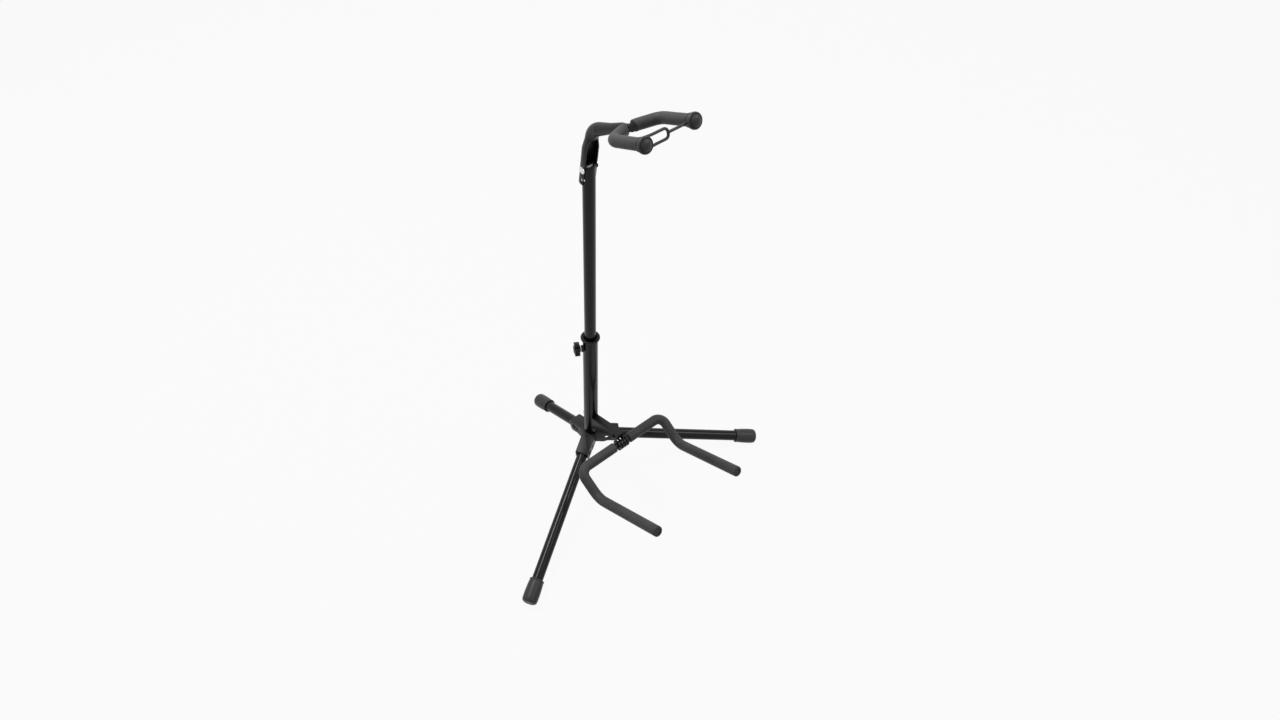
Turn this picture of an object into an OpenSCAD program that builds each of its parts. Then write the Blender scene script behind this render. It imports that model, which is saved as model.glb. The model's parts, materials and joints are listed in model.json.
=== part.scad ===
// Folding guitar stand: column on three folding legs, telescoping pole, padded cradle and padded neck yoke.
// Millimetres. +Z is up, the guitar faces -Y, and the origin is on the floor under the middle of the whole stand.

/* [Column] */
// Outer diameter of the column tube
column_d = 25; // [23:0.5:30]
// Wall of the column tube
column_wall = 1.5; // [1:0.1:2]
// Height of the column's lower end above the floor
column_base_z = 64; // [58:1:72]
// Length of the column tube
column_len = 274; // [250:1:320]
// Outer diameter of the flared collar at the column's mouth
collar_d = 32; // [28:0.2:36]
// Height of the flared collar
collar_h = 5; // [3:0.5:10]

/* [Pole] */
// Outer diameter of the pole
pole_d = 19; // [16:0.5:19]
// Wall of the pole
pole_wall = 1.2; // [1:0.1:2]
// Length of the pole
pole_len = 428.5; // [400:0.5:450]
// How far the pole can still rise before its guide meets the bush
pole_rise = 24; // [20:1:60]
// Length of the guide bush inside the column
bush_len = 32; // [26:1:36]
// Depth of the bush's upper end below the column's mouth
bush_depth = 10; // [8:1:16]
// Length of the guide foot on the pole's lower end
guide_len = 12; // [8:1:20]

/* [Clamp knob] */
// Diameter of the star knob over its lobes
knob_d = 24; // [20:1:32]
// Thickness of the star knob
knob_t = 10; // [8:1:14]
// Number of lobes on the star knob
knob_lobes = 6; // [5:1:8]
// Diameter of the clamp screw
clamp_screw_d = 6; // [5:0.5:8]
// Depth of the clamp screw below the column's mouth
clamp_depth = 27; // [20:1:30]
// Angle of the clamp screw round the column, from the front towards +X
clamp_angle = -120; // [-135:1:-105]

/* [Legs] */
// Height of the point where the leg axes cross the column's axis
hub_z = 80; // [76:1:86]
// Outer diameter of the leg tubes
leg_d = 19; // [17:0.5:20]
// Wall of the leg tubes
leg_wall = 1.5; // [1:0.1:2]
// Length of each front leg, from the column's axis to the end of its cap
front_leg_len = 321.5; // [280:0.5:360]
// Length of the rear leg, from the column's axis to the end of its cap
rear_leg_len = 180; // [165:0.5:220]
// Angle of each front leg, from the front
front_leg_angle = 58; // [52:1:66]
// Distance from the column's axis to a leg's pivot, along the leg
leg_pivot_s = 41; // [38:0.5:44]
// Diameter of the rivets in the legs and the yoke
rivet_d = 6; // [5:0.5:7]

/* [Leg brackets] */
// Sheet thickness of the leg brackets
bracket_t = 2; // [1.5:0.1:2.5]
// Length of a leg bracket from the column's axis
bracket_len = 51; // [50:0.5:56]
// Depth of a leg bracket's sides below the leg's axis, beside the column
bracket_lip = 14; // [12:0.5:15]
// Diameter of the round window in each side of a leg bracket
window_d = 6.4; // [5:0.2:7]

/* [Foot caps] */
// Length of a rubber foot cap
cap_len = 40; // [34:1:46]
// Largest outer diameter of a foot cap
cap_d = 26.6; // [25.6:0.2:30]
// Outer diameter of a foot cap at its mouth
cap_mouth_d = 24.2; // [23:0.2:25]
// Thickness of a foot cap's closed end
cap_floor = 5; // [4:0.5:8]

/* [Lower cradle] */
// Distance of the cradle's crossbar in front of the column's axis
cradle_reach = 84.5; // [78:0.5:96]
// Height of the cradle's crossbar
cradle_z = 136.5; // [130:0.5:146]
// Half of the cradle's width at its rear corners
cradle_half_w = 91; // [75:1:110]
// Length of each arm's falling stretch
drop_len = 56.5; // [54:0.5:70]
// Slope of each arm's falling stretch
drop_angle = 28.5; // [20:0.5:40]
// Length of each arm's rising run
run_len = 158; // [120:1:180]
// Slope of each arm's rising run
run_angle = 28.5; // [15:0.5:35]
// Diameter of the cradle's rod
cradle_rod_d = 10; // [8:0.5:12]
// Outer diameter of the cradle's foam sleeves
cradle_foam_d = 17.5; // [15:0.5:20]

/* [Cradle bracket] */
// Outer width of the cradle bracket
cradle_bracket_w = 14; // [12:0.5:16]
// Width of the black clip that holds the cradle's rod
clip_w = 20; // [18:0.5:24]
// Diameter of the bolt through the column
bolt_d = 5; // [4:0.5:6]
// Height of the bolt through the column
bolt_z = 121.5; // [119:0.5:123]

/* [Neck yoke] */
// Height of the yoke's back above its hinge
yoke_rise = 107.5; // [95:0.5:125]
// Forward lean of the hood on the pole
hood_lean = 7.5; // [0:0.5:10]
// How far the hood's cheeks reach in front of its axis
cheek_reach = 4; // [3.8:0.1:5]
// Outer diameter of the slotted hood on the pole
hood_d = 24; // [23.6:0.1:26]
// Length of the hood below the yoke's pivot
hood_skirt = 26; // [22:1:32]
// Slope of the yoke arm
arm_angle = 30; // [15:1:40]
// Distance of the yoke's back in front of the pole's axis
yoke_reach = 81; // [70:1:90]
// Diameter of the yoke arm
arm_d = 14.3; // [12:0.1:15.5]
// Diameter of the arm's bend above the hood
elbow_d = 18.4; // [16.5:0.1:20]
// Diameter of the arm's drawn-in front end
arm_end_d = 11; // [10.5:0.1:12]
// Slope of the yoke
yoke_angle = 24; // [10:1:35]
// Half of the yoke's width between its arms' axes
yoke_half_w = 38.7; // [35:0.1:45]
// How far the yoke's corners stand in front of its back
yoke_corner_out = 15; // [8:1:18]
// Bend radius of the yoke's corners
yoke_bend_r = 16; // [14:1:20]
// Length of the yoke from its back to the end of its caps
yoke_len = 84; // [80:1:100]
// Diameter of the yoke's rod
yoke_rod_d = 8; // [6:0.5:9]
// Outer diameter of the yoke's foam sleeves
yoke_foam_d = 16; // [14:0.5:18]
// Outer diameter of the mushroom caps
mushroom_d = 21.5; // [20:0.5:26]

/* [Rubber strap] */
// Thickness of the neck strap's rubber
strap_t = 3; // [2:0.5:3]
// Width of the neck strap's rubber
strap_w = 3.6; // [3:0.2:5]
// Share of the strap's length that is the open loop
strap_loop_share = 0.52; // [0.4:0.01:0.6]

/* [Hidden] */
$fn = 64;

// Clearances
run_gap = 0.05;         // round piece turning or sliding in its hole
side_gap = 0.3;         // flat piece beside a moving flat piece
sleeve_gap = 0.1;       // foam sleeve round its rod
floor_cut = 0.4;        // depth of the flat worn on a foot cap
eps = 0.01;

black_steel = [0.06, 0.06, 0.065];
black_plastic = [0.03, 0.03, 0.035];
rubber_grey = [0.09, 0.09, 0.095];
foam_grey = [0.13, 0.13, 0.135];
bright_steel = [0.75, 0.76, 0.78];

// Column and pole
column_r = column_d / 2;
column_bore_r = column_r - column_wall;
column_top_z = column_base_z + column_len;
pole_r = pole_d / 2;
plug_flange_t = 2.5;
plug_spigot_len = 12;
guide_spigot_len = 15;
clamp_z = column_top_z - clamp_depth;
bush_top_z = column_top_z - bush_depth;
guide_lip = 2;
pole_base_z = bush_top_z - bush_len - pole_rise - guide_len + guide_lip;
pole_top_z = pole_base_z + pole_len;
clamp_screw_r = clamp_screw_d / 2;
boss_r = clamp_screw_r + 3;
boss_t = 3;
knob_gap = 1;
knob_start = column_r + boss_t + knob_gap;
rivet_r = rivet_d / 2;

// Legs
leg_r = leg_d / 2;
bracket_in = leg_r + side_gap;
bracket_out = bracket_in + bracket_t;
sector_gap = 0.2;
cap_round = 5;
cap_widest = 24;
cap_r = cap_d / 2;
cap_arc_r = (cap_widest * cap_widest) / (cap_d - cap_mouth_d) + (cap_d - cap_mouth_d) / 4;
function cap_radius(s) = cap_r - cap_arc_r + sqrt(cap_arc_r * cap_arc_r - (s - cap_widest) * (s - cap_widest));
cap_corner_r = cap_radius(cap_len - cap_round) - cap_round;
// Slope at which a leg of a given length touches the floor with the rounded rim of its cap
function leg_slope(len) = asin((hub_z + floor_cut - cap_round) / norm([len - cap_round, cap_corner_r]))
    - atan(cap_corner_r / (len - cap_round));
front_slope = leg_slope(front_leg_len);
rear_slope = leg_slope(rear_leg_len);
half_fan = (180 + front_leg_angle) / 2;

// Lower cradle
cradle_foam_r = cradle_foam_d / 2;
cradle_rod_r = cradle_rod_d / 2;
toe_in = 1.4;           // slope of each arm towards the middle, in degrees
corner_bend_r = 16;
run_bend_r = 28;
foam_start = clip_w / 2 + 5;
rod_recess = 4;
clip_pin_r = 2;
clip_pin_at = [0, -cradle_reach + 13, cradle_z + 11.5];
cradle_pivot = [0, -cradle_reach, cradle_z];
cradle_corner = [cradle_half_w, -cradle_reach, cradle_z];
cradle_low = cradle_corner + drop_len * [-sin(toe_in) * cos(drop_angle), -cos(toe_in) * cos(drop_angle),
    -sin(drop_angle)];
cradle_run_dir = [-sin(toe_in) * cos(run_angle), -cos(toe_in) * cos(run_angle), sin(run_angle)];
cradle_tip = cradle_low + run_len * cradle_run_dir;

// Neck yoke
hood_r = hood_d / 2;
hood_wall = 1.5;
hood_bore_r = hood_r - hood_wall;
yoke_pivot_z = pole_top_z - pole_r;
elbow_r = 28;
elbow_turn = 90 - arm_angle - hood_lean;
elbow_back = elbow_r * tan(elbow_turn / 2);
yoke_back_z = yoke_pivot_z + yoke_rise;
// Along the leaning hood, from the hinge
elbow_s = (yoke_rise - yoke_reach * tan(arm_angle)) / (cos(hood_lean) - sin(hood_lean) * tan(arm_angle));
hood_top_s = elbow_s - elbow_back;
shoulder_s = hood_top_s * 0.66;
slot_top_s = hood_top_s + 4;
arm_r = arm_d / 2;
yoke_foam_r = yoke_foam_d / 2;
yoke_rod_r = yoke_rod_d / 2;
head_len = 9;
neck_len = strap_t + 2 * side_gap;
neck_r = 5.5;
cap_collar_len = 4;
cap_collar_r = yoke_foam_r + 0.7;
cap_start = yoke_len - head_len - neck_len - cap_collar_len;
yoke_foam_start = arm_end_d / 2 + 0.9;
yoke_kink_x = yoke_foam_start + 4.6;
yoke_kink_r = 14;
button_drop = 18;
button_r = 2.7;

// The whole stand is moved so that the origin lies under the middle of its footprint
front_extent = -cradle_tip[1] + cradle_foam_r * sin(run_angle);
rear_extent = (rear_leg_len - cap_round) * cos(rear_slope) + cap_corner_r * sin(rear_slope) + cap_round;
column_y = round((front_extent - rear_extent) / 2);

function unit(v) = v / norm(v);
function flip_x(p) = [-p[0], p[1], p[2]];
// Point of the yoke's own plane: x across, d forward from its back
function yoke_point(x, d) = [x, -yoke_reach - d * cos(yoke_angle), yoke_back_z + d * sin(yoke_angle)];
yoke_forward = [0, -cos(yoke_angle), sin(yoke_angle)];

// Moves children from the column's axis to the stand's place
module on_column() {
    translate([0, column_y, 0]) children();
}

// Places children with their +Z along dir and their +X along side
module aim(origin, dir, side) {
    z = unit(dir);
    x = unit(side - z * (side * z));
    y = cross(z, x);
    multmatrix([[x[0], y[0], z[0], origin[0]], [x[1], y[1], z[1], origin[1]], [x[2], y[2], z[2], origin[2]],
        [0, 0, 0, 1]]) children();
}

// Any direction that isn't along v
function across(v) = abs(unit(v)[0]) < 0.9 ? [1, 0, 0] : [0, 1, 0];

// Round bar from a to b
module bar(a, b, r) {
    aim(a, b - a, across(b - a)) cylinder(r = r, h = norm(b - a));
}

// Length lost at a corner to a bend of radius r
function bend_back(a, b, c, r) = r * tan(acos(unit(b - a) * unit(c - b)) / 2);

// Round bend at b, tangent to the lines from a and to c
module bend(a, b, c, bend_r, r) {
    u = unit(b - a);
    v = unit(c - b);
    turn = acos(u * v);
    inward = unit(v - u * (u * v));
    centre = b - u * bend_back(a, b, c, bend_r) + inward * bend_r;
    aim(centre, cross(-inward, u), -inward)
        rotate_extrude(angle = turn) translate([bend_r, 0]) circle(r = r);
}

// Bar that follows points, with one bend radius for each inner point. A bend is drawn a little thinner than the
// straight runs, as bending leaves it, and each run laps over the bend's ends.
bend_thin = 0.04;
bend_lap = 0.5;

module bent_bar(points, bends, r) {
    last = len(points) - 1;
    back = [for (i = [0 : last]) i == 0 || i == last ? 0
        : bend_back(points[i - 1], points[i], points[i + 1], bends[i - 1])];
    for (i = [0 : last - 1]) {
        u = unit(points[i + 1] - points[i]);
        lap_in = i == 0 ? 0 : bend_lap;
        lap_out = i == last - 1 ? 0 : bend_lap;
        bar(points[i] + u * (back[i] - lap_in), points[i + 1] - u * (back[i + 1] - lap_out), r);
    }
    for (i = [1 : last - 1]) bend(points[i - 1], points[i], points[i + 1], bends[i - 1], r - bend_thin);
}

// Places children at the column's axis with +X out along a leg and +Y along its pivot
module on_leg(angle, slope) {
    on_column() translate([0, 0, hub_z]) rotate([0, 0, angle - 90]) rotate([0, slope, 0]) children();
}

// Places children with +Z pointing out from the column at an angle from the front
module on_side(angle, z) {
    on_column() translate([0, 0, z]) rotate([0, 0, angle - 90]) rotate([0, 90, 0]) children();
}

// Column and what is fixed to it
module column_tube() {
    color(black_steel) difference() {
        on_column() translate([0, 0, column_base_z]) cylinder(r = column_r, h = column_len);
        on_column() translate([0, 0, column_base_z - 1]) cylinder(r = column_bore_r, h = column_len + 2);
        on_side(clamp_angle, clamp_z) cylinder(r = clamp_screw_r + run_gap, h = column_d);
        on_side(0, bolt_z) translate([0, 0, -column_d]) cylinder(d = bolt_d, h = 2 * column_d);
    }
}

module column_collar() {
    bead = collar_d / 2 - column_r;
    color(black_steel) on_column() translate([0, 0, column_top_z]) rotate_extrude() {
        polygon([[column_r, -collar_h], [column_r + 0.6, -collar_h], [collar_d / 2, -bead / 2],
            [collar_d / 2 - bead / 4, 0], [column_r, 0]]);
        translate([collar_d / 2 - bead / 3, -bead / 2]) circle(r = bead / 3);
    }
}

module column_plug() {
    color(black_plastic) on_column() translate([0, 0, column_base_z]) {
        cylinder(r = column_bore_r, h = plug_spigot_len);
        mirror([0, 0, 1]) cylinder(r1 = column_r, r2 = column_r - 1, h = plug_flange_t);
    }
}

module clamp_boss() {
    color(black_steel) difference() {
        on_side(clamp_angle, clamp_z) cylinder(r = boss_r, h = column_r + boss_t);
        on_side(clamp_angle, clamp_z) cylinder(r = clamp_screw_r + run_gap, h = column_d);
        on_column() cylinder(r = column_r, h = column_top_z);
    }
}

// Pole and what guides it
module pole_bush() {
    color(black_plastic) on_column() translate([0, 0, bush_top_z - bush_len]) difference() {
        cylinder(r = column_bore_r - run_gap, h = bush_len);
        translate([0, 0, -1]) cylinder(r = pole_r + run_gap, h = bush_len + 2);
        translate([0, 0, clamp_z - bush_top_z + bush_len]) rotate([0, 0, clamp_angle - 90]) rotate([0, 90, 0])
            cylinder(r = clamp_screw_r + run_gap, h = column_d);
    }
}

module pole_tube() {
    color(black_steel) on_column() difference() {
        intersection() {
            translate([0, 0, pole_base_z]) cylinder(r = pole_r, h = pole_len);
            union() {
                translate([-pole_r, -pole_r, pole_base_z]) cube([pole_d, pole_d, pole_len - pole_r]);
                translate([0, 0, yoke_pivot_z]) sphere(r = pole_r + 0.15);
            }
        }
        translate([0, 0, pole_base_z - 1]) cylinder(r = pole_r - pole_wall, h = pole_len + 2);
        translate([-pole_d, 0, yoke_pivot_z]) rotate([0, 90, 0]) cylinder(r = rivet_r, h = 2 * pole_d);
        translate([-pole_d, 0, yoke_pivot_z - button_drop]) rotate([0, 90, 0])
            cylinder(r = button_r + run_gap, h = pole_d);
    }
}

module pole_guide() {
    color(black_plastic) on_column() translate([0, 0, pole_base_z]) {
        cylinder(r = pole_r - pole_wall - run_gap, h = guide_spigot_len);
        difference() {
            translate([0, 0, -guide_lip]) cylinder(r = column_bore_r - run_gap, h = guide_len);
            cylinder(r = pole_r + run_gap, h = guide_len);
        }
    }
}

// Clamp knob
module clamp_screw() {
    color(bright_steel) on_side(clamp_angle, clamp_z) translate([0, 0, pole_r + side_gap])
        cylinder(r = clamp_screw_r, h = knob_start - pole_r + knob_t / 2);
}

module clamp_knob() {
    lobe_r = knob_d / 6;
    color(black_plastic) on_side(clamp_angle, clamp_z) difference() {
        union() {
            translate([0, 0, knob_start]) cylinder(r = clamp_screw_r + 2.5, h = 2);
            translate([0, 0, knob_start + 1.5]) linear_extrude(knob_t - 1.5) {
                circle(r = knob_d / 2 - lobe_r);
                for (i = [0 : knob_lobes - 1])
                    rotate(i * 360 / knob_lobes) translate([knob_d / 2 - lobe_r, 0]) circle(r = lobe_r);
            }
            translate([0, 0, knob_start + knob_t]) cylinder(r1 = knob_d / 3, r2 = knob_d / 4, h = 1.5);
        }
        cylinder(r = clamp_screw_r, h = pole_r + side_gap + knob_start - pole_r + knob_t / 2);
    }
}

// Leg brackets: inverted channels, the leg bears against the web and folds down out of the open side
module bracket_side() {
    corner = 3;
    end_depth = leg_r + 0.5;
    lip_s = leg_pivot_s - 13;
    difference() {
        polygon([[0, bracket_out], [bracket_len, bracket_out], [bracket_len, corner - end_depth],
            [bracket_len - corner, -end_depth], [lip_s + 4, -end_depth], [lip_s - 1, 1 - bracket_lip],
            [lip_s - 4, -bracket_lip], [0, -bracket_lip]]);
        translate([bracket_len - corner, bracket_out - corner]) round_off(corner);
        translate([leg_pivot_s - leg_r - window_d / 2 - 0.6, 0]) circle(d = window_d);
    }
}

// What a rounded corner of radius r takes off a square one
module round_off(r) {
    difference() {
        square(r + 1);
        circle(r = r);
    }
}

module leg_bracket(angle, slope, fan_from, fan_to) {
    reach = 2 * bracket_len;
    mid = (fan_from + fan_to) / 2;
    color(black_steel) difference() {
        intersection() {
            on_leg(angle, slope) translate([0, bracket_out, 0]) rotate([90, 0, 0])
                linear_extrude(2 * bracket_out) bracket_side();
            on_column() rotate([0, 0, angle - 90]) translate([sector_gap, 0, 0]) rotate([0, 0, 90 - angle])
                linear_extrude(2 * hub_z) polygon([[0, 0],
                [reach * sin(fan_from), -reach * cos(fan_from)],
                [2 * reach * sin(mid), -2 * reach * cos(mid)],
                [reach * sin(fan_to), -reach * cos(fan_to)]]);
        }
        on_leg(angle, slope) translate([-1, -bracket_in, -reach])
            cube([reach, 2 * bracket_in, reach + bracket_in]);
        on_leg(angle, slope) translate([leg_pivot_s, -reach / 2, 0]) rotate([-90, 0, 0])
            cylinder(r = rivet_r, h = reach);
        on_column() cylinder(r = column_r, h = column_top_z);
    }
}

module leg_bracket_left() {
    leg_bracket(-front_leg_angle, front_slope, -half_fan, 0);
}

module leg_bracket_right() {
    leg_bracket(front_leg_angle, front_slope, 0, half_fan);
}

module leg_bracket_rear() {
    leg_bracket(180, rear_slope, half_fan, 360 - half_fan);
}

// Rivet along +Y through a width, with a domed head at each end
module rivet(width) {
    head_r = rivet_r + 2.4;
    head_t = 2;
    rotate([-90, 0, 0]) translate([0, 0, -width / 2]) cylinder(r = rivet_r, h = width);
    for (side = [0, 1]) mirror([0, side, 0]) translate([0, width / 2, 0]) rotate([-90, 0, 0])
        intersection() {
            cylinder(r = head_r, h = head_t);
            translate([0, 0, head_t - 2 * head_r]) sphere(r = 2 * head_r);
        }
}

module leg_rivets() {
    color(black_steel) {
        on_leg(-front_leg_angle, front_slope) translate([leg_pivot_s, 0, 0]) rivet(2 * bracket_out);
        on_leg(front_leg_angle, front_slope) translate([leg_pivot_s, 0, 0]) rivet(2 * bracket_out);
        on_leg(180, rear_slope) translate([leg_pivot_s, 0, 0]) rivet(2 * bracket_out);
    }
}

// Legs: the inner end is rounded about the pivot so that it turns under the web
module leg_tube(angle, slope, len) {
    tube_end = len - cap_floor;
    color(black_steel) on_leg(angle, slope) difference() {
        union() {
            translate([leg_pivot_s, 0, 0]) rotate([0, 90, 0]) cylinder(r = leg_r, h = tube_end - leg_pivot_s);
            intersection() {
                translate([leg_pivot_s - leg_r, 0, 0]) rotate([0, 90, 0]) cylinder(r = leg_r, h = leg_r);
                translate([leg_pivot_s, -leg_r, 0]) rotate([-90, 0, 0]) cylinder(r = leg_r, h = leg_d);
            }
        }
        rotate([0, 90, 0]) cylinder(r = leg_r - leg_wall, h = len);
        translate([leg_pivot_s, -leg_d, 0]) rotate([-90, 0, 0]) cylinder(r = rivet_r + run_gap, h = 2 * leg_d);
    }
}

module leg_tube_left() {
    leg_tube(-front_leg_angle, front_slope, front_leg_len);
}

module leg_tube_right() {
    leg_tube(front_leg_angle, front_slope, front_leg_len);
}

module leg_tube_rear() {
    leg_tube(180, rear_slope, rear_leg_len);
}

// Foot cap: barrel-shaped rubber boot with a beaded mouth and a rounded end, worn flat where it stands
module foot_cap(angle, slope, len) {
    bead = 1.4;
    color(rubber_grey) difference() {
        on_leg(angle, slope) translate([len - cap_len, 0, 0]) rotate([0, 90, 0]) rotate_extrude() difference() {
            union() {
                intersection() {
                    translate([cap_r - cap_arc_r, cap_widest]) circle(r = cap_arc_r, $fn = 360);
                    square([cap_d, cap_len]);
                }
                translate([cap_mouth_d / 2 - bead / 2, bead]) circle(r = bead);
            }
            translate([cap_corner_r, cap_len - cap_round]) difference() {
                square(2 * cap_round);
                circle(r = cap_round);
            }
            translate([0, -1]) square([leg_r, cap_len - cap_floor + 1]);
        }
        on_column() translate([-len - cap_d, -len - cap_d, -cap_d]) cube([2 * len + 2 * cap_d, 2 * len + 2 * cap_d,
            cap_d]);
    }
}

module foot_cap_left() {
    foot_cap(-front_leg_angle, front_slope, front_leg_len);
}

module foot_cap_right() {
    foot_cap(front_leg_angle, front_slope, front_leg_len);
}

module foot_cap_rear() {
    foot_cap(180, rear_slope, rear_leg_len);
}

// Cradle bracket: inverted channel that rises from the column to a round nose at the rod
bracket_top_z = cradle_z;
bracket_low_z = cradle_z - 27.5;
bracket_nose = cradle_reach - 2.5;
bracket_rise = 22;

// Side view of the bracket, x out from the column's axis and y up
module cradle_bracket_side(inset) {
    corner = 2;
    polygon([[0, bracket_top_z - inset], [column_r, bracket_top_z - inset],
        [bracket_nose - corner, cradle_z + bracket_rise - inset],
        [bracket_nose, cradle_z + bracket_rise - corner - inset],
        [bracket_nose - 0.5, cradle_z + bracket_rise - 10], [bracket_nose - 6, cradle_z + bracket_rise - 14],
        [column_r, bracket_low_z], [0, bracket_low_z]]);
}

module cradle_bracket() {
    half_w = cradle_bracket_w / 2;
    color(black_steel) on_column() difference() {
        rotate([90, 0, -90]) translate([0, 0, -half_w]) linear_extrude(cradle_bracket_w) cradle_bracket_side(0);
        // hollow of the channel, open below and in front, with a flange left against the column
        rotate([90, 0, -90]) translate([0, 0, bracket_t - half_w])
            linear_extrude(cradle_bracket_w - 2 * bracket_t) difference() {
                union() {
                    cradle_bracket_side(bracket_t);
                    translate([column_r, bracket_low_z - 1]) square([cradle_reach, bracket_rise / 2]);
                    polygon([[column_r, bracket_low_z - 1], [cradle_reach, cradle_z - 10],
                        [cradle_reach, cradle_z + bracket_rise - bracket_t],
                        [bracket_nose - 2, cradle_z + bracket_rise - bracket_t]]);
                }
                translate([0, bracket_low_z]) square([column_r + bracket_t, bracket_top_z - bracket_low_z]);
            }
        cylinder(r = column_r, h = column_top_z);
        translate(clip_pin_at) translate([-cradle_bracket_w, 0, 0]) rotate([0, 90, 0])
            cylinder(r = clip_pin_r, h = 2 * cradle_bracket_w);
        translate([0, 0, bolt_z]) rotate([90, 0, 0]) cylinder(d = bolt_d, h = column_d);
    }
}

module bracket_bolt() {
    head_t = 3.2;
    seat = column_r + bracket_t;
    nut_end = column_r + 0.2 + 0.8 * bolt_d;
    color(bright_steel) on_column() translate([0, 0, bolt_z]) rotate([90, 0, 0]) {
        translate([0, 0, -nut_end]) cylinder(d = bolt_d, h = nut_end + seat + eps);
        translate([0, 0, seat]) cylinder(d = 1.5 * bolt_d, h = head_t);
    }
}

module bracket_nut() {
    nut_t = 0.9 * bolt_d;
    dome_r = 0.72 * bolt_d;
    color(bright_steel) on_column() translate([0, column_r, bolt_z]) rotate([-90, 0, 0]) difference() {
        union() {
            cylinder(d = 1.9 * bolt_d, h = nut_t, $fn = 6);
            translate([0, 0, nut_t]) scale(1) sphere(r = dome_r);
        }
        translate([0, 0, -1]) cylinder(d = bolt_d, h = 1 + 0.2 + 0.8 * bolt_d);
    }
}

// Pin through the bracket's sides and the clip's tongue
module clip_pin() {
    half_w = cradle_bracket_w / 2;
    color(black_steel) on_column() translate(clip_pin_at) for (side = [0, 1]) mirror([side, 0, 0])
        rotate([0, 90, 0]) {
            cylinder(r = clip_pin_r, h = half_w);
            translate([0, 0, half_w]) cylinder(r = clip_pin_r + 1.3, h = 1.2);
        }
}

// Black clip: a saddle round the rod, with a tongue held between the bracket's sides
module clip_side() {
    back = 9.5;
    low = 8.5;
    polygon([[back, -low + 3], [back, 4], [4, 20], [-8, 17], [-11, 10], [-12.5, 2], [-11, -low + 3],
        [-8, -low], [back - 3, -low]]);
    translate([-8, 12]) circle(r = 5);
}

// Side view of the tongue, in the same plane as the bracket's side view
module clip_tongue() {
    web = bracket_t + 0.1;
    back = cradle_reach - 24;
    slope = bracket_rise / (bracket_nose - 2 - column_r);
    polygon([[back, bracket_top_z + slope * (back - column_r) - web],
        [bracket_nose - 2, cradle_z + bracket_rise - web], [cradle_reach + 3, cradle_z + bracket_rise - 4],
        [cradle_reach + 3, cradle_z + 8], [cradle_reach - 8, cradle_z + 8], [back, cradle_z + 4]]);
}

module cradle_clip() {
    tongue_w = cradle_bracket_w - 2 * bracket_t;
    color(black_plastic) on_column() difference() {
        union() {
            difference() {
                translate([-clip_w / 2, -cradle_reach, cradle_z]) rotate([90, 0, 90])
                    linear_extrude(clip_w) clip_side();
                translate([-cradle_bracket_w / 2, -bracket_nose, cradle_z - 30])
                    cube([cradle_bracket_w, cradle_reach, 80]);
            }
            rotate([90, 0, -90]) translate([0, 0, -tongue_w / 2]) linear_extrude(tongue_w) clip_tongue();
        }
        translate([-cradle_half_w, -cradle_reach, cradle_z]) rotate([0, 90, 0])
            cylinder(r = cradle_rod_r + run_gap, h = 2 * cradle_half_w);
        translate(clip_pin_at) translate([-clip_w, 0, 0]) rotate([0, 90, 0]) cylinder(r = clip_pin_r, h = 2 * clip_w);
    }
}

// Lower cradle
function cradle_half(tip) = [cradle_corner, cradle_low, tip];

module cradle_rod() {
    half = cradle_half(cradle_tip - cradle_run_dir * rod_recess);
    left = [for (i = [len(half) - 1 : -1 : 0]) flip_x(half[i])];
    color(black_steel) on_column() bent_bar(concat(left, half),
        [run_bend_r, corner_bend_r, corner_bend_r, run_bend_r], cradle_rod_r);
}

module cradle_foam() {
    start = cradle_pivot + [foam_start, 0, 0];
    bends = [corner_bend_r, run_bend_r];
    past = cradle_tip + cradle_run_dir;
    color(foam_grey) on_column() difference() {
        bent_bar(concat([start], cradle_half(cradle_tip)), bends, cradle_foam_r);
        bent_bar(concat([start - [1, 0, 0]], cradle_half(past)), bends, cradle_rod_r + sleeve_gap);
    }
}

module cradle_foam_right() {
    cradle_foam();
}

module cradle_foam_left() {
    mirror([1, 0, 0]) cradle_foam();
}

module cradle_plugs() {
    end = cradle_tip - cradle_run_dir;
    color(rubber_grey) on_column() for (side = [0, 1]) mirror([side, 0, 0])
        bar(cradle_tip - cradle_run_dir * rod_recess, end, cradle_rod_r);
}

// Neck yoke
// The arm: its hood's front is open so that the pole can pass as the arm folds, and its upper part is a bent tube
module on_hood() {
    translate([0, 0, yoke_pivot_z]) rotate([hood_lean, 0, 0]) children();
}

// Side view of what is cut from the hood's front
module hood_front_cut() {
    cut_round = 10;
    difference() {
        translate([-hood_d, -hood_skirt - 1]) square([hood_d - cheek_reach, hood_skirt + 1 + slot_top_s]);
        translate([-cheek_reach - cut_round, slot_top_s - cut_round]) round_off(cut_round);
    }
}

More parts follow.
